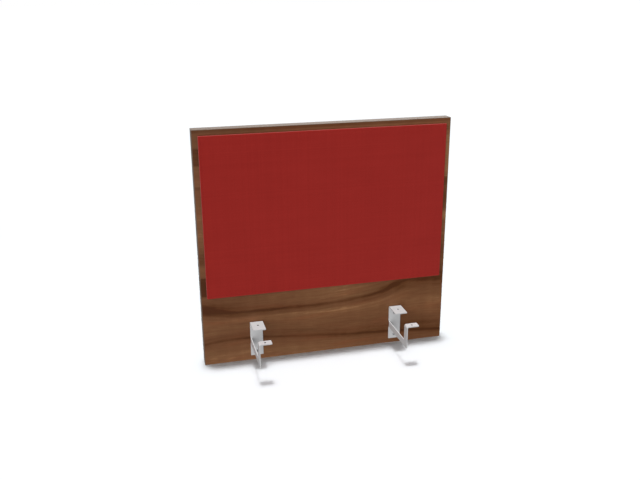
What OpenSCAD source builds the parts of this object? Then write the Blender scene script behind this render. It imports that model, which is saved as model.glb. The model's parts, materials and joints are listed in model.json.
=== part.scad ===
// Desk privacy panel: a thick wood-faced board with a fabric-covered pinboard on its front,
// carried under a desk top by two bent sheet-steel brackets.
// Millimetres. +Z is up, and the desk is on the -Y side, which is the panel's front.
// Left is -X and right is +X, as seen from the desk.
// The origin is the centre of the four desk fixing holes, level with the flanges' top faces,
// so the underside of the desk top lies on the plane Z = 0.

/* [Panel] */
// Width of the finished panel
panel_w = 800; // [700:10:1200]
// Height of the finished panel
panel_h = 750; // [740:5:900]
// Thickness of the finished panel
panel_t = 38; // [28:1:40]
// Thickness of the edge bands
band_t = 1; // [0.5:0.1:2]
// Thickness of the decor laminate on each face
laminate_t = 0.8; // [0.6:0.1:1.2]

/* [Pinboard] */
// From the panel's side edges to the pinboard's side edges
pinboard_side_margin = 17.5; // [5:0.5:60]
// From the panel's top edge to the pinboard's top edge
pinboard_top_margin = 17; // [5:1:30]
// Height of the covered pinboard
pinboard_h = 503; // [400:1:520]
// Thickness of the covered pinboard
pinboard_t = 10; // [8:0.5:16]
// Thickness of the cover fabric
fabric_t = 0.8; // [0.6:0.1:1.2]
// How far the fabric is turned over onto the back
turnover = 35; // [25:1:45]
// Thickness of a pressed pair of fastening tapes
tape_pair_t = 2; // [1.6:0.2:3]

/* [Brackets] */
// Distance between the two brackets' centre lines
bracket_pitch = 465; // [300:5:600]
// Width of a bracket's plate and flanges
bracket_w = 40; // [40:1:60]
// Thickness of the sheet steel
steel_t = 3; // [2:0.5:4]
// Inner radius of the bends
bend_r = 3; // [2:0.5:4]
// Height of the plate on the panel
plate_h = 117; // [105:1:130]
// From the panel's bottom edge to the flanges' top faces
flange_rise = 134; // [130:1:160]
// How far the near flange stands out from the panel
near_flange_d = 65; // [50:1:70]
// How far the arm reaches out from the panel
arm_reach = 168; // [140:1:220]
// Height of the arm's bar
arm_h = 20; // [16:1:24]
// From the flanges' top faces down to the arm's lower edge
arm_drop = 74; // [70:1:85]
// Depth of the upright and of the far flange
upright_d = 24; // [20:1:30]
// Diameter of the desk fixing holes
desk_hole_d = 6; // [5:0.5:7]

/* [Fasteners] */
// Diameter of the screws' shanks
screw_d = 6; // [5:1:6]
// Length of the screws under the head
screw_l = 16; // [14:1:20]
// From the flanges' top faces down to the upper screw
upper_screw_drop = 24; // [20:1:30]
// From the plate's lower edge up to the lower screw
lower_screw_rise = 14.5; // [12:0.5:20]

/* [Hidden] */
$fn = 48;

// Colours
CHIPBOARD = [0.76, 0.64, 0.46];
WALNUT = [0.42, 0.27, 0.17];
BAND_GREY = [0.66, 0.61, 0.58];
SOFTBOARD = [0.62, 0.48, 0.31];
RED = [0.55, 0.15, 0.13];
TAPE_BLACK = [0.08, 0.08, 0.08];
SILVER = [0.75, 0.76, 0.77];
ZINC = [0.62, 0.63, 0.64];
BRASS = [0.78, 0.64, 0.35];

// The desk fixing holes' distances from the panel's front face, and where that puts the face
near_hole_out = near_flange_d / 2;
far_hole_out = arm_reach - upright_d / 2;
face_y = (near_hole_out + far_hole_out) / 2;

// Places, worked out from the sizes above
bottom_z = -flange_rise;
top_z = bottom_z + panel_h;
pinboard_back_y = face_y - tape_pair_t;
pinboard_w = panel_w - 2 * pinboard_side_margin;
pinboard_top_z = top_z - pinboard_top_margin;
pinboard_low_z = pinboard_top_z - pinboard_h;
pinboard_front_y = pinboard_back_y - pinboard_t;
screw_zs = [-upper_screw_drop, -plate_h + lower_screw_rise];
bend_out = bend_r + steel_t;                // outer radius of the bends

// Bracket details
corner_r = 2;            // outer corners of the flanges and the plate
relief_w = 1.5;          // slots in the plate's edge above and below the arm's bend
relief_d = bend_out + 1; // depth of these slots
inner_corner_r = 3;      // between the arm's bar and its upright
plate_hole_d = screw_d + 0.6;

// Screws: button heads with a hexagon socket
head_d = 10.5;
head_h = 3.3;
socket_af = 4;
socket_depth = 2;
thread_gap = 0.05;       // radial gap between a screw and its insert
insert_d = 10;
insert_l = 18;
insert_groove_w = 1.2;
insert_groove_depth = 0.5;
insert_grooves = 4;
pilot_extra = 6;         // how much deeper than the insert its hole is drilled

// Pinboard details
edge_r = 1.2;            // rounding of the fabric where it turns round the board's edges
staple_crown = 10;
staple_wire = 0.7;
staple_leg = 5;
staple_pitch = 84;
staple_inset = turnover * 0.62;
tape_l = 100;
tape_w = 20;
tape_inset_x = 110;      // from the pinboard's side edge to the first tape's centre
tape_inset_z = 60;       // from the pinboard's top or bottom edge to a tape's centre

// ---------- shapes that repeat ----------

// A block given by its lowest and highest corners
module block(low, high) {
    translate(low) cube(high - low);
}

// A slab across the panel, between two depths
module slab(w, low_z, high_z, low_y, high_y) {
    block([-w / 2, low_y, low_z], [w / 2, high_y, high_z]);
}

// A round bar or hole along +Y
module along_y(x, z, low_y, high_y, d) {
    translate([x, low_y, z]) rotate([-90, 0, 0]) cylinder(h = high_y - low_y, d = d);
}

// The four screw places on the panel, as [x, z]
screw_places = [for (side = [-1, 1]) for (z = screw_zs) [side * bracket_pitch / 2, z]];

module screw_holes(low_y, high_y, d) {
    for (p = screw_places) along_y(p.x, p.y, low_y, high_y, d);
}

// A quarter of a bent sheet, from its flat face along +X to its flat face along +Y
module bend(length) {
    linear_extrude(length)
        intersection() {
            difference() {
                circle(r = bend_out);
                circle(r = bend_r);
            }
            square(bend_out);
        }
}

// A flat sheet whose corners at its far end, at y = size.y, are rounded
module sheet(size, r) {
    linear_extrude(steel_t) {
        square([size.x, size.y - r]);
        translate([r, 0]) square([size.x - 2 * r, size.y]);
        for (x = [r, size.x - r]) translate([x, size.y - r]) circle(r = r);
    }
}

// ---------- the panel ----------

module core_board() {
    color(CHIPBOARD)
    difference() {
        slab(panel_w - 2 * band_t, bottom_z + band_t, top_z - band_t,
             face_y + laminate_t, face_y + panel_t - laminate_t);
        screw_holes(face_y, face_y + insert_l + pilot_extra, insert_d);
    }
}

module front_laminate() {
    color(WALNUT)
    difference() {
        slab(panel_w - 2 * band_t, bottom_z + band_t, top_z - band_t, face_y, face_y + laminate_t);
        screw_holes(face_y - 1, face_y + laminate_t + 1, insert_d);
    }
}

module rear_laminate() {
    color(WALNUT)
    slab(panel_w - 2 * band_t, bottom_z + band_t, top_z - band_t,
         face_y + panel_t - laminate_t, face_y + panel_t);
}

// The side bands run the full height, and the top and bottom bands fit between them
module side_band(side) {
    color(BAND_GREY)
    translate([side * (panel_w - band_t) / 2, 0, 0])
        slab(band_t, bottom_z, top_z, face_y, face_y + panel_t);
}

module cross_band(low_z) {
    color(BAND_GREY)
    slab(panel_w - 2 * band_t, low_z, low_z + band_t, face_y, face_y + panel_t);
}

module top_edge_band() cross_band(top_z - band_t);
module bottom_edge_band() cross_band(bottom_z);
module left_edge_band() side_band(-1);
module right_edge_band() side_band(1);

// ---------- the pinboard ----------

// A board with rounded front edges, given by its outer size and the depth of its back
module rounded_board(w, low_z, high_z, front_y, back_y, r) {
    slab(w - 2 * r, low_z, high_z, front_y + r, back_y);
    slab(w, low_z + r, high_z - r, front_y + r, back_y);
    slab(w - 2 * r, low_z + r, high_z - r, front_y, back_y);
    for (x = [-1, 1]) {
        translate([x * (w / 2 - r), front_y + r, low_z + r]) cylinder(h = high_z - low_z - 2 * r, r = r);
        for (z = [low_z + r, high_z - r]) {
            translate([x * (w / 2 - r), front_y + r, z]) sphere(r = r);
            translate([x * (w / 2 - r), front_y + r, z]) rotate([-90, 0, 0]) {
                cylinder(h = back_y - front_y - r, r = r);
            }
        }
    }
    for (z = [low_z + r, high_z - r])
        translate([-w / 2 + r, front_y + r, z]) rotate([0, 90, 0]) cylinder(h = w - 2 * r, r = r);
}

module pinboard_core() {
    color(SOFTBOARD)
    difference() {
        slab(pinboard_w - 2 * fabric_t, pinboard_low_z + fabric_t, pinboard_top_z - fabric_t,
             pinboard_front_y + fabric_t, pinboard_back_y - fabric_t);
        staple_legs(staple_wire);
    }
}

// The fabric covers the front and the edges, and a strip all round the back
module pinboard_fabric() {
    color(RED)
    difference() {
        rounded_board(pinboard_w, pinboard_low_z, pinboard_top_z,
                      pinboard_front_y, pinboard_back_y, edge_r);
        slab(pinboard_w - 2 * fabric_t, pinboard_low_z + fabric_t, pinboard_top_z - fabric_t,
             pinboard_front_y + fabric_t, pinboard_back_y - fabric_t);
        slab(pinboard_w - 2 * turnover, pinboard_low_z + turnover, pinboard_top_z - turnover,
             pinboard_back_y - 2 * fabric_t, pinboard_back_y + 1);
        staple_legs(staple_wire);
    }
}

// The staples' places round the back, as [x, z, angle]
staple_x_count = floor((pinboard_w - 4 * turnover) / staple_pitch);
staple_z_count = floor((pinboard_h - 4 * turnover) / staple_pitch);
pinboard_mid_z = (pinboard_low_z + pinboard_top_z) / 2;
staple_places = concat(
    [for (side = [-1, 1]) for (i = [0:staple_x_count])
        [(i - staple_x_count / 2) * staple_pitch,
         pinboard_mid_z + side * (pinboard_h / 2 - staple_inset), 0]],
    [for (side = [-1, 1]) for (i = [0:staple_z_count])
        [side * (pinboard_w / 2 - staple_inset),
         pinboard_mid_z + (i - staple_z_count / 2) * staple_pitch, 90]]
);

module at_staples() {
    for (s = staple_places)
        translate([s.x, pinboard_back_y, s.y]) rotate([0, s.z, 0]) children();
}

// The two legs of each staple, pointing into the board
module staple_legs(wire) {
    at_staples()
        for (side = [-1, 1])
            translate([side * (staple_crown - wire) / 2 - wire / 2, -staple_leg, -wire / 2])
                cube([wire, staple_leg, wire]);
}

module pinboard_staples() {
    color(ZINC) {
        staple_legs(staple_wire);
        at_staples()
            translate([-staple_crown / 2, 0, -staple_wire / 2])
                cube([staple_crown, staple_wire, staple_wire]);
    }
}

// Six strips of fastening tape, in two rows
module tapes(low_y, high_y) {
    for (x = [-1, 0, 1])
        for (z = [pinboard_low_z + tape_inset_z, pinboard_top_z - tape_inset_z])
            translate([x * (pinboard_w / 2 - tape_inset_x), 0, 0])
                slab(tape_l, z - tape_w / 2, z + tape_w / 2, low_y, high_y);
}

// The hook half is stuck to the panel, and the loop half to the pinboard's bare back
module pinboard_hook_tapes() {
    color(TAPE_BLACK) tapes(face_y - tape_pair_t / 2, face_y);
}

module pinboard_loop_tapes() {
    color(TAPE_BLACK) tapes(pinboard_back_y - fabric_t, face_y - tape_pair_t / 2);
}

// ---------- the brackets ----------
// A bracket is drawn with its plate's left edge at x = 0, its back at y = 0
// and its flanges' top faces at z = 0, reaching towards -Y.

arm_top_z = -arm_drop + arm_h;

module bracket_plate() {
    translate([0, 0, -bend_out]) rotate([90, 0, 0]) translate([bracket_w, 0, 0]) rotate([0, 0, 180])
        sheet([bracket_w, plate_h - bend_out], corner_r);
}

module near_flange() {
    translate([bracket_w, -bend_out, -steel_t]) rotate([0, 0, 180])
        sheet([bracket_w, near_flange_d - bend_out], corner_r);
}

module far_flange() {
    translate([bend_out, -arm_reach + upright_d, -steel_t]) rotate([0, 0, -90])
        sheet([upright_d, bracket_w - bend_out], corner_r);
}

// The arm's bar and its upright, cut as one flat L
module arm_outline() {
    difference() {
        union() {
            translate([bend_out, -arm_drop]) square([arm_reach - bend_out - corner_r, arm_h]);
            translate([arm_reach - upright_d, -arm_drop + corner_r])
                square([upright_d, arm_drop - corner_r - bend_out]);
            translate([arm_reach - corner_r, -arm_drop + corner_r]) circle(r = corner_r);
            translate([arm_reach - upright_d - inner_corner_r, arm_top_z])
                square([inner_corner_r, inner_corner_r]);
        }
        translate([arm_reach - upright_d - inner_corner_r, arm_top_z + inner_corner_r])
            circle(r = inner_corner_r);
    }
}

module arm() {
    mirror([0, 1, 0]) rotate([90, 0, 90]) linear_extrude(steel_t) arm_outline();
}

// Clears the plate's left edge where the arm bends out of it
module arm_root_relief() {
    block([-1, -bend_out, -arm_drop - relief_w], [relief_d, 1, arm_top_z + relief_w]);
}

module bracket() {
    color(SILVER)
    difference() {
        union() {
            difference() {
                bracket_plate();
                arm_root_relief();
            }
            block([bend_out, -steel_t, -arm_drop], [relief_d + 1, 0, arm_top_z]);
            near_flange();
            translate([0, -bend_out, -bend_out]) rotate([90, 0, 90]) bend(bracket_w);
            translate([bend_out, -bend_out, -arm_drop]) rotate([0, 0, 90]) bend(arm_h);
            arm();
            translate([bend_out, -arm_reach + upright_d, -bend_out]) rotate([90, -90, 0]) bend(upright_d);
            far_flange();
        }
        for (z = screw_zs) along_y(bracket_w / 2, z, -steel_t - 1, 1, plate_hole_d);
        for (out = [near_hole_out, far_hole_out])
            translate([bracket_w / 2, -out, -steel_t - 1]) cylinder(h = steel_t + 2, d = desk_hole_d);
    }
}

module placed_bracket(side) {
    translate([side * bracket_pitch / 2 - bracket_w / 2, face_y, 0]) bracket();
}

module left_bracket() placed_bracket(-1);
module right_bracket() placed_bracket(1);

// ---------- the fasteners ----------

// The sphere that the button head is cut from
head_sphere_r = (pow(head_d / 2, 2) + pow(head_h, 2)) / (2 * head_h);

// A screw at the panel's front face, its head on the bracket's plate
module screw(place) {
    color(ZINC)
    translate([place.x, face_y - steel_t, place.y]) rotate([90, 0, 0]) {
        difference() {
            intersection() {
                cylinder(h = head_h, d = head_d);
                translate([0, 0, head_h - head_sphere_r]) sphere(r = head_sphere_r);
            }
            translate([0, 0, head_h - socket_depth])
                cylinder(h = socket_depth + 1, d = socket_af / cos(30), $fn = 6);
        }
        translate([0, 0, -screw_l]) cylinder(h = screw_l, d = screw_d - 2 * thread_gap);
    }
}

// A threaded insert set flush in the panel, with grooves that grip the chipboard
module insert(place) {
    color(BRASS)
    translate([place.x, face_y, place.y]) rotate([-90, 0, 0])
        difference() {
            cylinder(h = insert_l, d = insert_d);
            translate([0, 0, -1]) cylinder(h = insert_l + 2, d = screw_d);
            for (i = [1:insert_grooves])
                translate([0, 0, i * insert_l / (insert_grooves + 1) - insert_groove_w / 2])
                    difference() {
                        cylinder(h = insert_groove_w, d = insert_d + 1);
                        cylinder(h = insert_groove_w, d = insert_d - 2 * insert_groove_depth);
                    }
        }
}

module left_upper_screw() screw(screw_places[0]);
module left_lower_screw() screw(screw_places[1]);
module right_upper_screw() screw(screw_places[2]);
module right_lower_screw() screw(screw_places[3]);
module left_upper_insert() insert(screw_places[0]);
module left_lower_insert() insert(screw_places[1]);
module right_upper_insert() insert(screw_places[2]);
module right_lower_insert() insert(screw_places[3]);

// ---------- the nodes ----------

core_board();
front_laminate();
rear_laminate();
top_edge_band();
bottom_edge_band();
left_edge_band();
right_edge_band();
pinboard_core();
pinboard_fabric();
pinboard_staples();
pinboard_hook_tapes();
pinboard_loop_tapes();
left_bracket();
right_bracket();
left_upper_screw();
left_lower_screw();
right_upper_screw();
right_lower_screw();
left_upper_insert();
left_lower_insert();
right_upper_insert();
right_lower_insert();
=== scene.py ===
import json
import math

import bmesh
import bpy
from mathutils import Matrix, Vector

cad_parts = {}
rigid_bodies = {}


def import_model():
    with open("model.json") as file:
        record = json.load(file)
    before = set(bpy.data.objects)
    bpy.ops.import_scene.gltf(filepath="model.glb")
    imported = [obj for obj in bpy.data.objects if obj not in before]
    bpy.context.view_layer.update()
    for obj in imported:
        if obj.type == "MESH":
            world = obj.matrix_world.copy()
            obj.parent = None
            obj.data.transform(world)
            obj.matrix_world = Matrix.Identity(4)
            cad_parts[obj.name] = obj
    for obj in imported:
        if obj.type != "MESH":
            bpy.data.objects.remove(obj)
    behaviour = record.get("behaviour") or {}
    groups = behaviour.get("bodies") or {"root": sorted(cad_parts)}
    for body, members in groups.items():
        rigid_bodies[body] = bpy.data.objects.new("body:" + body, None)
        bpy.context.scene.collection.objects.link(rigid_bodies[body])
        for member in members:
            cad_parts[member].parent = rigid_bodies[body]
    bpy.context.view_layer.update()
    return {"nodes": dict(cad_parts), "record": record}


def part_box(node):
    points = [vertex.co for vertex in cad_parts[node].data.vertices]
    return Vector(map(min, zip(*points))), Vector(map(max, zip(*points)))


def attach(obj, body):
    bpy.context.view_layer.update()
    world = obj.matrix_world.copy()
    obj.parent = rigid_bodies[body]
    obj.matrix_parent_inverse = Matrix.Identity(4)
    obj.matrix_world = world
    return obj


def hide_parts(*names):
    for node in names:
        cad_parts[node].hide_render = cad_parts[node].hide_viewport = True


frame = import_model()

# The looks of a desk privacy panel: a walnut-decor board with a red fabric pinboard, on two
# powder-coated steel brackets. Metres, in the CAD model's frame: +Z up, the desk side is -Y.

MM = 0.001
NODES = frame["nodes"]

# The panel stands on the floor, and its side bands run its full height
BAND_LOW, BAND_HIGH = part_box("left_edge_band")
FLOOR_Z = BAND_LOW.z
PANEL_H = BAND_HIGH.z - BAND_LOW.z
# How far the cover is turned over onto the pinboard's back
TURNOVER = 35 * MM
# The four desk holes' distances from x = 0 and from y = 0, and their radius, in millimetres
DESK_HOLES = next(m["dims"] for m in frame["record"]["mounts"] if m["name"] == "desk_screws")
HOLE_X = DESK_HOLES["spacing_x_mm"] / 2
HOLE_Y = DESK_HOLES["spacing_y_mm"] / 2
HOLE_RADIUS = DESK_HOLES["hole_r_mm"]


# ---------- the stage ----------

def make_camera():
    """The photograph's viewpoint: left of the middle, above the panel, looking a little down."""
    place = Vector((-0.5649, -2.0058, 0.9918))
    turn_right, tilt_down, roll = (math.radians(a) for a in (14.5, 18.83, -0.31))
    data = bpy.data.cameras.new("camera")
    data.lens = 41.24
    data.sensor_width = 36.0
    data.clip_end = 500.0
    camera = bpy.data.objects.new("camera", data)
    aim = Matrix.Rotation(-turn_right, 4, "Z") @ Matrix.Rotation(math.pi / 2 - tilt_down, 4, "X")
    camera.matrix_world = Matrix.Translation(place) @ aim @ Matrix.Rotation(roll, 4, "Z")
    bpy.context.scene.collection.objects.link(camera)
    bpy.context.scene.camera = camera


def add_lamp(name, towards, strength, softness, receivers, shadows=True):
    """A distant lamp that lights one collection's objects only.

    towards points at the lamp. Strength 1 shows a white face at full brightness, and softness
    is how wide the lamp looks, in degrees.
    """
    data = bpy.data.lights.new(name, "SUN")
    data.energy = strength * math.pi
    data.angle = math.radians(softness)
    data.use_shadow = shadows
    lamp = bpy.data.objects.new(name, data)
    lamp.rotation_euler = Vector(towards).to_track_quat("Z", "Y").to_euler()
    lamp.light_linking.receiver_collection = receivers
    bpy.context.scene.collection.objects.link(lamp)


def make_dome():
    """A weak white dome, seen as a plain white backdrop."""
    white = (1.0, 1.0, 1.0, 1.0)
    world = bpy.data.worlds.new("studio")
    world.use_nodes = True
    nodes, links = world.node_tree.nodes, world.node_tree.links
    dome = nodes["Background"]
    dome.inputs["Color"].default_value = white
    dome.inputs["Strength"].default_value = 0.22
    backdrop = nodes.new("ShaderNodeBackground")
    backdrop.inputs["Color"].default_value = white
    path = nodes.new("ShaderNodeLightPath")
    shown = nodes.new("ShaderNodeMixShader")
    links.new(path.outputs["Is Camera Ray"], shown.inputs[0])
    links.new(dome.outputs[0], shown.inputs[1])
    links.new(backdrop.outputs[0], shown.inputs[2])
    links.new(shown.outputs[0], nodes["World Output"].inputs["Surface"])
    bpy.context.scene.world = world
    bpy.context.scene.view_settings.view_transform = "Standard"


def floor_paint():
    """Matt white. Light spreads under its skin round the object, which blurs the shadow evenly."""
    spread = 75.0
    spreads_fully_to, stops_spreading_at = 1500.0, 3000.0
    g = Graph("studio_floor")
    x, y, _ = g.place()
    round_object = g.fade(g.length(x, y), spreads_fully_to, stops_spreading_at)
    return g.surface((0.83, 0.86, 0.885), roughness=0.9, specular=0.0, soft=spread,
                     soft_share=round_object)


def make_floor():
    """A white floor. It throws no light back, so that the panel's colours stay deep."""
    half = 60.0
    drop = 0.05 * MM
    mesh = bpy.data.meshes.new("floor")
    corners = [(-half, -half, 0), (half, -half, 0), (half, half, 0), (-half, half, 0)]
    mesh.from_pydata(corners, [], [(0, 1, 2, 3)])
    mesh.materials.append(floor_paint())
    floor = bpy.data.objects.new("floor", mesh)
    floor.location.z = FLOOR_Z - drop
    floor.visible_diffuse = False
    floor.visible_glossy = False
    floor.visible_shadow = False
    bpy.context.scene.collection.objects.link(floor)
    return floor


def light_stage(floor):
    """Soft lamps for the object, and one nearly overhead that draws its shadow on the floor."""
    make_dome()
    ground = bpy.data.collections.new("lit_floor")
    ground.objects.link(floor)
    pieces = bpy.data.collections.new("lit_pieces")
    for piece in bpy.context.scene.objects:
        if piece.type == "MESH" and piece != floor:
            pieces.objects.link(piece)
    add_lamp("floor_lamp", (-0.007, 0.035, 1.0), 1.0, 3.2, ground)
    add_lamp("top_lamp", (-0.05, 0.0, 1.0), 0.85, 8, pieces, shadows=False)
    add_lamp("front_lamp", (-0.6, -1.0, 0.2), 0.68, 70, pieces)
    add_lamp("back_lamp", (0.8, 0.9, 0.45), 0.6, 70, pieces)
    add_lamp("low_lamp", (0.1, 0.25, -1.0), 0.4, 70, pieces)


# ---------- building materials ----------

def srgb(*levels):
    """A colour given as 0 to 255 display levels, as linear light, by the sRGB curve."""
    shares = [v / 255 for v in levels]
    return tuple(s / 12.92 if s <= 0.04045 else ((s + 0.055) / 1.055) ** 2.4 for s in shares)


class Graph:
    """One material's nodes. Lengths are in millimetres.

    Most methods return a socket, and take sockets and plain numbers alike.
    """

    # How far one step of a seed moves a noise, in lumps
    SEED_STEP = Vector((3.7, 1.9, 5.3))
    SHEEN_ROUGHNESS = 0.45

    def __init__(self, name):
        self.material = bpy.data.materials.new(name)
        self.material.use_nodes = True
        self.tree = self.material.node_tree
        self.tree.nodes.clear()

    def node(self, kind, **settings):
        made = self.tree.nodes.new(kind)
        for name, value in settings.items():
            setattr(made, name, value)
        return made

    def put(self, value, socket):
        """Links a socket, or sets a plain number or colour."""
        if isinstance(value, bpy.types.NodeSocket):
            self.tree.links.new(value, socket)
        elif socket.type == "RGBA" and len(value) == 3:
            socket.default_value = (*value, 1.0)
        else:
            socket.default_value = value

    def math(self, operation, *values, clamp=False):
        made = self.node("ShaderNodeMath", operation=operation, use_clamp=clamp)
        for value, socket in zip(values, made.inputs):
            self.put(value, socket)
        return made.outputs[0]

    def add(self, a, b):
        return self.math("ADD", a, b)

    def sub(self, a, b):
        return self.math("SUBTRACT", a, b)

    def mul(self, a, b):
        return self.math("MULTIPLY", a, b)

    def total(self, *values):
        result = values[0]
        for value in values[1:]:
            result = self.add(result, value)
        return result

    def length(self, a, b):
        """How far the point (a, b) is from (0, 0)."""
        return self.math("SQRT", self.add(self.mul(a, a), self.mul(b, b)))

    def wave(self, value, pitch):
        """A sine along value, from -1 to 1, that repeats every pitch."""
        return self.math("SINE", self.mul(value, 2 * math.pi / pitch))

    def vector(self, x=0.0, y=0.0, z=0.0):
        made = self.node("ShaderNodeCombineXYZ")
        for value, socket in zip((x, y, z), made.inputs):
            self.put(value, socket)
        return made.outputs[0]

    def split(self, vector):
        """A vector's x, y and z."""
        made = self.node("ShaderNodeSeparateXYZ")
        self.put(vector, made.inputs[0])
        return tuple(made.outputs)

    def place(self):
        """The point's x, y and z in the CAD model's frame."""
        grow = self.node("ShaderNodeVectorMath", operation="SCALE")
        self.put(self.node("ShaderNodeTexCoord").outputs["Object"], grow.inputs[0])
        grow.inputs["Scale"].default_value = 1 / MM
        return self.split(grow.outputs[0])

    def own_place(self):
        """The point's place in its piece's own box, from 0 to 1 each way."""
        return self.split(self.node("ShaderNodeTexCoord").outputs["Generated"])

    def face_direction(self):
        """The way the face looks, as an arrow."""
        return self.node("ShaderNodeNewGeometry").outputs["True Normal"]

    def lumps(self, sizes, at):
        """The point at, counted in lumps of these sizes."""
        return self.vector(*(self.math("DIVIDE", v, size) for v, size in zip(at, sizes)))

    def noise(self, sizes, at, detail=2.0, roughness=0.5, seed=0.0):
        """Smooth noise about 0, mostly from -1 to 1, whose lumps have these sizes."""
        shift = self.node("ShaderNodeVectorMath", operation="ADD")
        self.put(self.lumps(sizes, at), shift.inputs[0])
        shift.inputs[1].default_value = seed * self.SEED_STEP
        made = self.node("ShaderNodeTexNoise")
        self.put(shift.outputs[0], made.inputs["Vector"])
        made.inputs["Scale"].default_value = 1.0
        made.inputs["Detail"].default_value = detail
        made.inputs["Roughness"].default_value = roughness
        return self.math("MULTIPLY_ADD", made.outputs[0], 4.0, -2.0)

    def fade(self, value, at_one, at_zero):
        """1 at at_one and beyond, 0 at at_zero and beyond, and smooth between."""
        made = self.node("ShaderNodeMapRange", interpolation_type="SMOOTHSTEP")
        for name, number in (("Value", value), ("From Min", at_one), ("From Max", at_zero),
                             ("To Min", 1.0), ("To Max", 0.0)):
            self.put(number, made.inputs[name])
        return made.outputs[0]

    def near(self, value, centre, half_width, softness=1.0):
        """1 near centre, fading to 0 at half_width; softness 1 fades all the way."""
        away = self.math("ABSOLUTE", self.sub(value, centre))
        return self.fade(away, self.mul(half_width, 1.0 - softness), half_width)

    def line(self, value, points):
        """A smooth curve through (in, out) points, read at value."""
        ins, outs = zip(*points)
        low_in, low_out = min(ins), min(outs)
        span_in, span_out = max(ins) - low_in, max(outs) - low_out
        made = self.node("ShaderNodeFloatCurve")
        curve = made.mapping.curves[0]
        while len(curve.points) < len(points):
            curve.points.new(0.5, 0.5)
        for point, (a, b) in zip(curve.points, points):
            point.location = ((a - low_in) / span_in, (b - low_out) / span_out)
        made.mapping.update()
        share = self.math("MULTIPLY_ADD", value, 1 / span_in, -low_in / span_in, clamp=True)
        self.put(share, made.inputs["Value"])
        return self.math("MULTIPLY_ADD", made.outputs[0], span_out, low_out)

    def ramp(self, value, stops):
        """Colours along value, from (place, display colour) stops."""
        made = self.node("ShaderNodeValToRGB")
        elements = made.color_ramp.elements
        while len(elements) < len(stops):
            elements.new(0.5)
        for element, (at, colour) in zip(elements, stops):
            element.position = at
            element.color = (*srgb(*colour), 1.0)
        self.put(value, made.inputs[0])
        return made.outputs["Color"]

    def mix(self, share, a, b, blend="MIX"):
        """Between the colours a and b, or a tinted by b."""
        made = self.node("ShaderNodeMix", data_type="RGBA", blend_type=blend)
        for value, socket in ((share, made.inputs[0]), (a, made.inputs[6]), (b, made.inputs[7])):
            self.put(value, socket)
        return made.outputs[2]

    def either(self, share, a, b):
        """Between the numbers a and b."""
        return self.add(self.mul(self.sub(1.0, share), a), self.mul(share, b))

    def relief(self, height, size):
        """A bump: a rise of 1 in height stands for size."""
        made = self.node("ShaderNodeBump")
        made.inputs["Distance"].default_value = size * MM
        self.put(height, made.inputs["Height"])
        return made.outputs[0]

    def surface(self, base, roughness, normal=None, metallic=0.0, specular=0.5, sheen=0.0,
                anisotropy=0.0, soft=0.0, soft_share=1.0):
        """The finished material. soft is how far light spreads under the skin."""
        shader = self.node("ShaderNodeBsdfPrincipled")
        if soft > 0:
            shader.subsurface_method = "BURLEY"
            self.put(soft_share, shader.inputs["Subsurface Weight"])
            shader.inputs["Subsurface Radius"].default_value = (1.0, 1.0, 1.0)
            shader.inputs["Subsurface Scale"].default_value = soft * MM
        named = {"Base Color": base, "Roughness": roughness, "Metallic": metallic,
                 "Specular IOR Level": specular, "Anisotropic": anisotropy,
                 "Sheen Weight": sheen, "Sheen Roughness": self.SHEEN_ROUGHNESS}
        for name, value in named.items():
            self.put(value, shader.inputs[name])
        if normal is not None:
            self.put(normal, shader.inputs["Normal"])
        out = self.node("ShaderNodeOutputMaterial")
        self.put(shader.outputs[0], out.inputs["Surface"])
        return self.material


# ---------- walnut decor ----------

# The decor's colours, as (darkness, display colour)
WALNUT = [(0.0, (150, 108, 72)), (0.12, (128, 87, 56)), (0.3, (118, 77, 48)),
          (0.55, (106, 66, 39)), (0.8, (93, 54, 25)), (1.0, (77, 39, 10))]
REDDER_CAST, GREENER_CAST = (1.06, 0.94, 0.9), (0.97, 1.04, 1.03)
# The two long dark streaks of the front face, as (x, height above the panel's lower edge)
UPPER_STREAK = [(-400, 190), (-340, 177), (-280, 169), (-170, 168), (-20, 167), (60, 172),
                (140, 180), (190, 189), (240, 208), (290, 219), (400, 216)]
LOWER_STREAK = [(-400, 70), (-330, 78), (-270, 80), (-170, 71), (-60, 61), (60, 51), (180, 46),
                (300, 37), (400, 29)]
# Where the streaks lie once they are pulled level
UPPER_LEVEL, LOWER_LEVEL = 175.0, 60.0
# Darker and lighter clouds on the front face, as (x, half width, height, half height, darkness)
CLOUDS = [(-300, 120, 202, 28, 0.2), (-300, 150, 156, 13, 0.15), (-390, 120, 112, 65, -0.14),
          (330, 120, 172, 20, 0.2), (355, 160, 134, 34, -0.26), (370, 100, 100, 26, -0.14),
          (20, 80, 174, 10, -0.14), (60, 100, 190, 15, -0.18), (245, 55, 202, 16, 0.18),
          (175, 60, 214, 20, 0.1), (370, 120, 22, 14, 0.1), (380, 90, 52, 16, -0.17)]
# How dark the decor is below the pinboard, from 0 to 1, as (levelled height, darkness)
LOW_TONES = [(0, 0.17), (30, 0.26), (48, 0.38), (55, 0.56), (72, 0.58), (85, 0.5), (105, 0.42),
             (125, 0.33), (140, 0.26), (155, 0.36), (162, 0.6), (185, 0.58), (200, 0.42),
             (230, 0.38)]
# How dark it is up its left and right sides, as (height, darkness)
LEFT_TONES = [(225, 0.6), (240, 1.0), (292, 1.05), (298, 0.3), (330, 0.35), (351, 0.7),
              (380, 0.45), (450, 0.2), (570, 0.35), (577, 0.65), (584, 0.35), (640, 0.35),
              (650, 0.85), (690, 0.85), (700, 0.42), (738, 0.42), (744, 0.72), (750, 0.72)]
# The right side's tones are the decor's own, and are also painted lighter beside the pinboard to
# offset the shadow it casts there
RIGHT_TONES = [(225, 0.8), (240, 0.6), (270, 0.4), (290, 0.3), (308, 0.5), (340, 0.35),
               (400, 0.15), (450, 0.1), (465, 0.55), (505, 0.55), (520, 0.35), (535, 0.55),
               (550, 0.7), (565, 0.1), (600, -0.05), (670, -0.05), (700, 0.1), (738, 0.3),
               (744, 0.65), (750, 0.65)]


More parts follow.
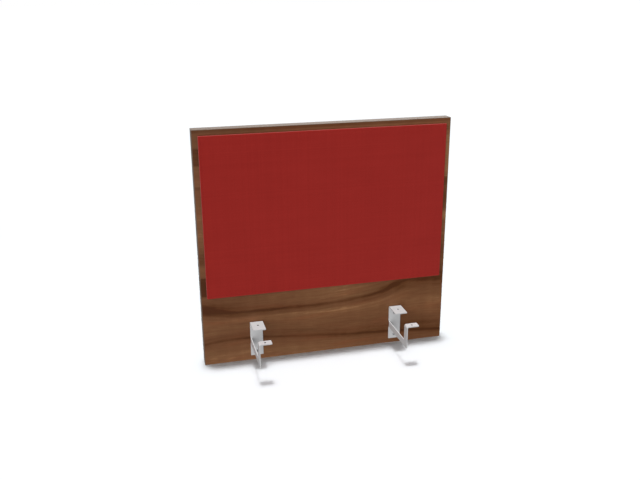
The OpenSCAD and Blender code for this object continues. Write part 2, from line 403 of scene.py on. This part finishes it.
def panel_place(g):
    """The point's x, and its height above the panel's lower edge."""
    x, _, row_z = g.place()
    return x, g.sub(row_z, FLOOR_Z / MM)


def grain(g, x, v, seed):
    """The grain's darkness, its fine lines and its pores: x runs along it and v across it."""
    broad = g.noise((420, 26), (x, v), detail=2.0, seed=seed + 1)
    fibre = g.noise((170, 6), (x, v), detail=4.0, roughness=0.6, seed=seed + 2)
    fine = g.noise((60, 1.3), (x, v), detail=3.0, roughness=0.6, seed=seed + 3)
    fleck = g.noise((38, 5), (x, v), detail=3.0, roughness=0.6, seed=seed + 7)
    mottle = g.noise((62, 17), (x, v), detail=3.0, roughness=0.6, seed=seed + 8)
    figure = g.noise((20, 130), (x, v), detail=2.0, seed=seed + 4)
    pores = g.fade(g.noise((11, 0.55), (x, v), detail=1.0, seed=seed + 5), 1.1, 0.55)
    parts = ((broad, 0.1), (fibre, 0.11), (fleck, 0.075), (mottle, 0.075), (fine, 0.07),
             (figure, 0.045), (pores, 0.25))
    return g.total(*(g.mul(value, weight) for value, weight in parts)), fine, pores


def walnut_surface(g, x, v, darkness, seed):
    """The finished decor: tones, a redder and a greener cast, open pores and a satin face."""
    grained, fine, pores = grain(g, x, v, seed)
    colour = g.ramp(g.math("ADD", darkness, grained, clamp=True), WALNUT)
    cast = g.noise((150, 26), (x, v), detail=3.0, seed=seed + 6)
    colour = g.mix(g.fade(cast, 1.2, 0.0), colour, REDDER_CAST, "MULTIPLY")
    colour = g.mix(g.fade(cast, -1.2, 0.0), colour, GREENER_CAST, "MULTIPLY")
    height = g.sub(g.mul(fine, 0.15), pores)
    roughness = g.total(0.46, g.mul(fine, 0.03), g.mul(pores, 0.2))
    return g.surface(colour, roughness, g.relief(height, 0.05), specular=0.2)


def levelled_height(g, z, upper, lower):
    """The height with both streaks pulled level, so that the grain runs along them."""
    top = PANEL_H / MM
    below = g.math("DIVIDE", z, lower, clamp=True)
    between = g.math("DIVIDE", g.sub(z, lower), g.sub(upper, lower), clamp=True)
    above = g.math("DIVIDE", g.sub(z, upper), g.sub(top, upper), clamp=True)
    return g.total(g.mul(below, LOWER_LEVEL), g.mul(between, UPPER_LEVEL - LOWER_LEVEL),
                   g.mul(above, top - UPPER_LEVEL))


def base_darkness(g, x, z, v):
    """The front's tones: by levelled height below the pinboard, and by side beside it."""
    board_edge = (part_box("pinboard_fabric")[0].z - FLOOR_Z) / MM
    blur, middle_half = 6.0, 250.0
    left, right = (g.line(z, [(0, tones[0][1])] + tones) for tones in (LEFT_TONES, RIGHT_TONES))
    beside = g.either(g.fade(x, middle_half, -middle_half), left, right)
    above_edge = g.fade(z, board_edge + blur, board_edge - blur)
    return g.either(above_edge, g.line(v, LOW_TONES), beside)


def streak_darkness(g, x, z, v, upper, lower):
    """The two streaks, with edges that waver, and the marks close to them."""
    waver = g.noise((70, 9), (x, v), detail=3.0, seed=11)
    feather = g.noise((17, 3), (x, v), detail=3.0, roughness=0.6, seed=12)
    wavered = g.total(z, g.mul(waver, 1.8), g.mul(feather, 1.3))
    strength = g.noise((90, 60), (x, v), detail=2.0, seed=13)
    # The upper streak is broader at both ends
    at_ends = g.fade(g.math("ABSOLUTE", g.add(x, 10.0)), 400.0, 250.0)
    upper_half, lower_half = g.add(9.0, g.mul(at_ends, 7.0)), 7.0
    upper_dark = g.mul(g.near(wavered, upper, upper_half, 0.9), g.add(0.36, g.mul(strength, 0.1)))
    lower_dark = g.mul(g.near(wavered, lower, lower_half, 0.9), g.add(0.27, g.mul(strength, 0.07)))
    # A thin line over the lower streak, and a dark flame above the upper one
    thin_line = g.mul(g.near(x, -70.0, 90.0, 0.4), g.near(g.sub(wavered, lower), 23.0, 5.0))
    flame = g.mul(g.near(x, 222.0, 70.0), g.near(g.sub(wavered, upper), 9.0, 15.0))
    return g.total(upper_dark, lower_dark, g.mul(thin_line, 0.22), g.mul(flame, 0.5))


def patch_darkness(g, x, z, v, upper):
    """Broad patches: a haze round the upper streak's left end, a light one left of the flame,
    a darker lower right, and the clouds."""
    haze = g.mul(g.fade(x, -390.0, -250.0), g.near(g.sub(z, upper), 0.0, 50.0, 0.5))
    light = g.mul(g.near(x, 30.0, 200.0), g.near(v, 188.0, 75.0, 0.6))
    corner = g.mul(g.fade(x, 300.0, -60.0), g.fade(v, 50.0, 105.0))
    clouds = [g.mul(g.mul(g.near(x, cloud_x, half_x), g.near(z, cloud_z, half_z)), dark)
              for cloud_x, half_x, cloud_z, half_z, dark in CLOUDS]
    return g.total(g.mul(haze, 0.2), g.mul(light, -0.2), g.mul(corner, 0.2), *clouds)


def front_walnut():
    g = Graph("walnut_decor_front")
    x, z = panel_place(g)
    upper, lower = g.line(x, UPPER_STREAK), g.line(x, LOWER_STREAK)
    v = levelled_height(g, z, upper, lower)
    darkness = g.total(base_darkness(g, x, z, v), streak_darkness(g, x, z, v, upper, lower),
                       patch_darkness(g, x, z, v, upper))
    return walnut_surface(g, x, v, darkness, seed=0)


def rear_walnut():
    """The same decor on the back, from another stretch of the sheet."""
    g = Graph("walnut_decor_rear")
    x, z = panel_place(g)
    sway = g.noise((520, 330), (x, z), detail=1.0, seed=21)
    v = g.add(z, g.mul(sway, 22.0))
    bands = g.noise((1500, 55), (x, v), detail=2.0, roughness=0.45, seed=22)
    streaks = g.near(g.noise((900, 70), (x, v), detail=1.0, seed=23), 0.1, 0.16, 0.9)
    darkness = g.total(0.43, g.mul(bands, 0.19), g.mul(streaks, 0.3))
    return walnut_surface(g, x, v, darkness, seed=30)


# ---------- the other materials ----------

def thread_tone(g, thread, seed):
    """A tone from 0 to 1 for each numbered thread."""
    speck = g.node("ShaderNodeTexWhiteNoise", noise_dimensions="1D")
    g.put(g.add(thread, seed), speck.inputs["W"])
    return speck.outputs["Value"]


def weave_place(g, x, y, z, pitch):
    """The point counted in threads across and up its face, which drift a little from straight."""
    faces_side, _, faces_up = (g.math("GREATER_THAN", g.math("ABSOLUTE", n), 0.75)
                               for n in g.split(g.face_direction()))
    u = g.math("DIVIDE", g.either(faces_side, x, y), pitch)
    v = g.math("DIVIDE", g.either(faces_up, z, y), pitch)
    drift = g.noise((35, 35), (u, v), detail=1.0, seed=3)
    return g.add(u, g.mul(drift, 0.12)), g.add(v, g.mul(drift, 0.1))


def red_weave():
    """Plain-weave wool-mix cloth: 1.1 mm threads, each a little lighter or darker."""
    g = Graph("red_fabric")
    x, y, z = g.place()
    u, v = weave_place(g, x, y, z, pitch=1.1)
    warp, weft = g.math("FLOOR", u), g.math("FLOOR", v)
    over = g.math("FLOORED_MODULO", g.add(warp, weft), 2.0)
    # Each thread is round, and arches over the one that it crosses
    round_u, round_v = (g.math("SINE", g.mul(g.math("FRACT", w), math.pi)) for w in (u, v))
    warp_height = g.mul(round_u, g.add(0.55, g.mul(round_v, 0.45)))
    weft_height = g.mul(round_v, g.add(0.55, g.mul(round_u, 0.45)))
    height = g.either(over, warp_height, weft_height)
    thread = g.either(over, thread_tone(g, warp, 0.5), thread_tone(g, weft, 71.5))
    fuzz = g.noise((0.35, 0.35, 0.35), (x, y, z), detail=2.0, seed=5)
    wear = g.noise((120, 120, 60), (x, y, z), detail=3.0, seed=6)
    tone = g.total(0.5, g.mul(g.sub(thread, 0.5), 0.32), g.mul(fuzz, 0.14), g.mul(wear, 0.05))
    yarn = g.ramp(tone, [(0.0, (138, 31, 27)), (0.5, (168, 42, 36)), (1.0, (188, 54, 46))])
    # Painted shade: the low places between the threads are darkened
    hollow_shade = g.fade(height, 0.25, 0.8)
    colour = g.mix(g.mul(hollow_shade, 0.45), yarn, srgb(106, 20, 18))
    bump = g.relief(g.add(height, g.mul(fuzz, 0.08)), 0.22)
    return g.surface(colour, 0.88, bump, specular=0.08, sheen=0.18)


def sharp_edges(g, width):
    """1 along sharp edges, within about this width of them, and 0 on flat faces."""
    rounded = g.node("ShaderNodeBevel", samples=4)
    rounded.inputs["Radius"].default_value = width * MM
    facing = g.node("ShaderNodeVectorMath", operation="DOT_PRODUCT")
    g.put(rounded.outputs[0], facing.inputs[0])
    g.put(g.face_direction(), facing.inputs[1])
    return g.fade(facing.outputs["Value"], 0.86, 0.99)


def desk_hole_walls(g, x, y):
    """1 inside the desk holes, fading out just past their rims."""
    from_axis = g.length(g.sub(g.math("ABSOLUTE", x), HOLE_X), g.sub(g.math("ABSOLUTE", y), HOLE_Y))
    return g.fade(from_axis, HOLE_RADIUS + 0.05, HOLE_RADIUS + 0.35)


def powder_coat():
    """Light silver-grey powder coat with a fine pebbled skin, smoother on its edges and painted
    paler there as a highlight.
    """
    g = Graph("bracket_paint")
    at = g.place()
    pebbles = g.noise((0.9, 0.9, 0.9), at, detail=2.0, seed=1)
    ripple = g.noise((4, 4, 4), at, detail=1.0, seed=2)
    cloud = g.noise((38, 38, 38), at, detail=3.0, seed=3)
    edge = sharp_edges(g, 0.9)
    paint = g.ramp(g.add(0.5, g.mul(cloud, 0.2)), [(0.0, (192, 192, 193)), (1.0, (202, 202, 203))])
    # Painted highlight: the sharp edges are mixed towards a paler grey
    colour = g.mix(g.mul(edge, 0.35), paint, srgb(214, 214, 213))
    # Painted shade: the desk holes' walls are darkened to a dark grey, as the shade inside them
    hole_shade = desk_hole_walls(g, at[0], at[1])
    colour = g.mix(g.mul(hole_shade, 0.85), colour, srgb(58, 57, 56))
    height = g.add(g.mul(pebbles, 0.5), g.mul(ripple, 0.7))
    roughness = g.total(0.42, g.mul(pebbles, 0.04), g.mul(edge, -0.08))
    return g.surface(colour, roughness, g.relief(height, 0.03), specular=0.5)


def edge_band():
    """Warm grey plastic banding with the faint matte grain it is rolled with."""
    g = Graph("edge_band")
    at = g.place()
    skin = g.noise((0.8, 0.8, 0.8), at, detail=3.0, seed=1)
    cloud = g.noise((60, 20, 60), at, detail=2.0, seed=2)
    tone = g.total(0.5, g.mul(cloud, 0.12), g.mul(skin, 0.1))
    colour = g.ramp(tone, [(0.0, (116, 103, 93)), (1.0, (131, 116, 105))])
    return g.surface(colour, g.add(0.55, g.mul(skin, 0.05)), g.relief(skin, 0.03), specular=0.15)


def zinc_plate():
    """Bright zinc on turned steel: rings round the axis and a faint blue and straw bloom."""
    g = Graph("zinc_plated_steel")
    own_x, _, own_z = g.own_place()
    # The distance from the screw's axis and the rings' pitch, as shares of its head's width
    out = g.length(g.sub(own_x, 0.5), g.sub(own_z, 0.5))
    ring_pitch = 0.02417
    rings = g.wave(out, ring_pitch)
    at = g.place()
    bloom = g.noise((3, 3, 3), at, detail=2.0, seed=1)
    speck = g.noise((0.5, 0.5, 0.5), at, detail=2.0, seed=2)
    zinc = [(0.0, (138, 145, 155)), (0.5, (150, 152, 155)), (1.0, (160, 154, 138))]
    colour = g.ramp(g.add(0.5, g.mul(bloom, 0.3)), zinc)
    # Painted shade: the socket is darkened, as the shade inside it, and made rougher
    socket = g.fade(out, 0.17, 0.23)
    colour = g.mix(g.mul(socket, 0.75), colour, srgb(52, 50, 48))
    roughness = g.total(0.33, g.mul(speck, 0.05), g.mul(rings, 0.02), g.mul(socket, 0.25))
    return g.surface(colour, roughness, g.relief(rings, 0.008), metallic=1.0, anisotropy=0.3)


def brass():
    """Turned brass, with fine rings along the insert."""
    g = Graph("insert_brass")
    at = g.place()
    ring_pitch = 0.4488
    turned = g.wave(at[1], ring_pitch)
    cloud = g.noise((4, 4, 4), at, detail=3.0, seed=1)
    colour = g.ramp(g.add(0.5, g.mul(cloud, 0.25)), [(0.0, (176, 140, 78)), (1.0, (214, 180, 112))])
    return g.surface(colour, g.add(0.32, g.mul(cloud, 0.05)), g.relief(turned, 0.01), metallic=1.0)


def staple_wire():
    """Bright drawn wire."""
    g = Graph("staple_wire")
    drawn = g.noise((6, 0.1, 0.1), g.place(), detail=2.0, seed=1)
    colour = g.ramp(g.add(0.5, g.mul(drawn, 0.2)), [(0.0, (160, 162, 166)), (1.0, (205, 207, 210))])
    return g.surface(colour, 0.35, g.relief(drawn, 0.01), metallic=1.0)


def chipboard():
    """Pressed wood flakes, each with its own tone, with darker, sunken gaps between them."""
    g = Graph("chipboard")
    at = g.place()
    flakes = g.node("ShaderNodeTexVoronoi", feature="F1")
    g.put(g.lumps((5.0, 1.6, 3.2), at), flakes.inputs["Vector"])
    flakes.inputs["Scale"].default_value = 1.0
    tint = g.node("ShaderNodeSeparateColor")
    g.put(flakes.outputs["Color"], tint.inputs[0])
    dust = g.noise((0.7, 0.7, 0.7), at, detail=3.0, seed=1)
    tone = g.total(g.mul(tint.outputs[0], 0.7), 0.15, g.mul(dust, 0.1))
    wood = g.ramp(tone, [(0.0, (150, 118, 78)), (0.5, (196, 166, 122)), (1.0, (222, 198, 156))])
    gap = g.fade(flakes.outputs["Distance"], 0.9, 0.55)
    colour = g.mix(g.mul(gap, 0.5), wood, srgb(104, 76, 46))
    return g.surface(colour, 0.85, g.relief(g.sub(dust, gap), 0.3), specular=0.2)


def soft_fibreboard():
    """Felted brown wood fibre."""
    g = Graph("soft_fibreboard")
    at = g.place()
    fibres = g.noise((3.5, 0.6, 0.5), at, detail=4.0, roughness=0.7, seed=1)
    across = g.noise((0.5, 0.6, 3.5), at, detail=4.0, roughness=0.7, seed=2)
    tone = g.total(0.5, g.mul(fibres, 0.18), g.mul(across, 0.18))
    colour = g.ramp(tone, [(0.0, (104, 78, 48)), (0.5, (152, 120, 80)), (1.0, (188, 158, 114))])
    return g.surface(colour, 0.95, g.relief(g.add(fibres, across), 0.25), specular=0.15)


def fastening_tape():
    """Black woven tape set with rows of small nylon hooks."""
    g = Graph("fastening_tape")
    at = g.place()
    hook_pitch, row_pitch = 1.2, 1.5
    along_row, across_rows = (g.math("FRACT", g.math("DIVIDE", v, pitch))
                              for v, pitch in ((at[0], hook_pitch), (at[2], row_pitch)))
    hooks = g.mul(g.near(across_rows, 0.5, 0.35), g.near(along_row, 0.5, 0.35))
    lint = g.noise((1.5, 1.5, 1.5), at, detail=3.0, seed=1)
    tone = g.total(0.2, g.mul(hooks, 0.5), g.mul(lint, 0.1))
    colour = g.ramp(tone, [(0.0, (16, 16, 17)), (1.0, (52, 52, 55))])
    return g.surface(colour, 0.7, g.relief(g.add(hooks, g.mul(lint, 0.15)), 0.4), specular=0.4)


# ---------- the parts that keep their CAD shape ----------

def dress(nodes, material, bevel=0.0):
    """Gives CAD nodes a material, and rounds their sharp edges by a fraction of a millimetre."""
    for name in nodes:
        part = NODES[name]
        part.data.materials.clear()
        part.data.materials.append(material)
        if bevel > 0:
            weld = part.modifiers.new("weld", "WELD")
            weld.merge_threshold = 0.001 * MM
            rounding = part.modifiers.new("edges", "BEVEL")
            rounding.width = bevel * MM
            rounding.segments = 3
            rounding.limit_method = "ANGLE"
            rounding.angle_limit = math.radians(40)
            rounding.use_clamp_overlap = True
            rounding.harden_normals = True


def dress_cad_parts():
    sides = ("left", "right")
    corners = [f"{side}_{level}" for side in sides for level in ("upper", "lower")]
    dress(["front_laminate"], front_walnut())
    dress(["rear_laminate"], rear_walnut())
    dress(["core_board"], chipboard())
    dress([f"{edge}_edge_band" for edge in ("top", "bottom", *sides)], edge_band(), bevel=0.35)
    dress([f"{side}_bracket" for side in sides], powder_coat(), bevel=0.3)
    dress([f"{corner}_screw" for corner in corners], zinc_plate(), bevel=0.15)
    dress([f"{corner}_insert" for corner in corners], brass())
    dress(["pinboard_core"], soft_fibreboard())
    dress(["pinboard_staples"], staple_wire())
    dress([f"pinboard_{half}_tapes" for half in ("hook", "loop")], fastening_tape())


# ---------- the pinboard's cover ----------

def shell_with_flaps(size):
    """A box of cloth, open at the back inside four flaps that meet in mitred corners."""
    shape = bmesh.new()
    bmesh.ops.create_cube(shape, size=1.0, matrix=Matrix.Diagonal((*size, 1)))
    back = max(shape.faces, key=lambda face: face.normal.y)
    flaps = bmesh.ops.inset_region(shape, faces=[back], thickness=TURNOVER,
                                   use_even_offset=True)["faces"]
    mitres = [e for e in shape.edges if all(face in flaps for face in e.link_faces)]
    bmesh.ops.delete(shape, geom=[back], context="FACES_ONLY")
    bmesh.ops.split_edges(shape, edges=mitres)
    return shape


def open_mitres(shape, size, gap):
    """Draws the flaps' inner ends back from their mitre lines, as cloth cut short there."""
    reach_x, reach_z = size.x / 2 - TURNOVER, size.z / 2 - TURNOVER
    for vert in shape.verts:
        inner = abs(abs(vert.co.x) - reach_x) < MM and abs(abs(vert.co.z) - reach_z) < MM
        if inner and vert.is_boundary:
            centre = sum((face.calc_center_median() for face in vert.link_faces), Vector())
            along = 0 if abs(centre.x) < abs(centre.z) else 2
            vert.co[along] -= math.copysign(gap, vert.co[along])


def fray(shape, pitch, depth):
    """Leaves the cut edges slightly wavy, the way scissors and staples do."""
    # Radians per metre of the two waves laid over each other
    slow, quick = 61, 143
    cut = [e for e in shape.edges if e.is_boundary and e.calc_length() > 8 * pitch]
    for edge in cut:
        steps = int(edge.calc_length() / pitch)
        middle = (edge.verts[0].co + edge.verts[1].co) / 2
        lies_along_x = abs(edge.verts[0].co.x - edge.verts[1].co.x) > pitch
        along, across = (0, 2) if lies_along_x else (2, 0)
        made = bmesh.ops.subdivide_edges(shape, edges=[edge], cuts=steps)["geom_inner"]
        for vert in (v for v in made if isinstance(v, bmesh.types.BMVert)):
            place = vert.co[along]
            wave = depth * (math.sin(place * slow) + 0.6 * math.sin(place * quick + 1))
            bite = max(wave, -wave / 2)
            vert.co[across] += math.copysign(bite, middle[across])


def cover_mesh(size, thickness):
    """The cloth round the board, as a sheet of this thickness centred on (0, 0, 0)."""
    sharp = math.radians(60)
    fold_radius = 1.3 * MM
    shape = shell_with_flaps(size)
    open_mitres(shape, size, gap=2.5 * MM)
    fray(shape, pitch=12 * MM, depth=0.5 * MM)
    folds = [e for e in shape.edges if len(e.link_faces) == 2 and e.calc_face_angle(0) > sharp]
    bmesh.ops.bevel(shape, geom=folds, offset=fold_radius, segments=4, profile=0.5,
                    affect="EDGES")
    bmesh.ops.solidify(shape, geom=shape.faces[:], thickness=thickness)
    bmesh.ops.recalc_face_normals(shape, faces=shape.faces[:])
    return shape


def make_cover():
    """The fabric, wrapped round the board's edges and turned over onto its back."""
    low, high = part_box("pinboard_fabric")
    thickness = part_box("pinboard_core")[0].x - low.x
    size, middle = high - low, (low + high) / 2
    shape = cover_mesh(size, thickness)
    bmesh.ops.translate(shape, verts=shape.verts[:], vec=middle)
    mesh = bpy.data.meshes.new("pinboard_cover")
    shape.to_mesh(mesh)
    shape.free()
    mesh.materials.append(red_weave())
    cover = bpy.data.objects.new("pinboard_cover", mesh)
    bpy.context.scene.collection.objects.link(cover)
    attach(cover, "root")
    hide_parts("pinboard_fabric")


make_camera()
dress_cad_parts()
make_cover()
light_stage(make_floor())
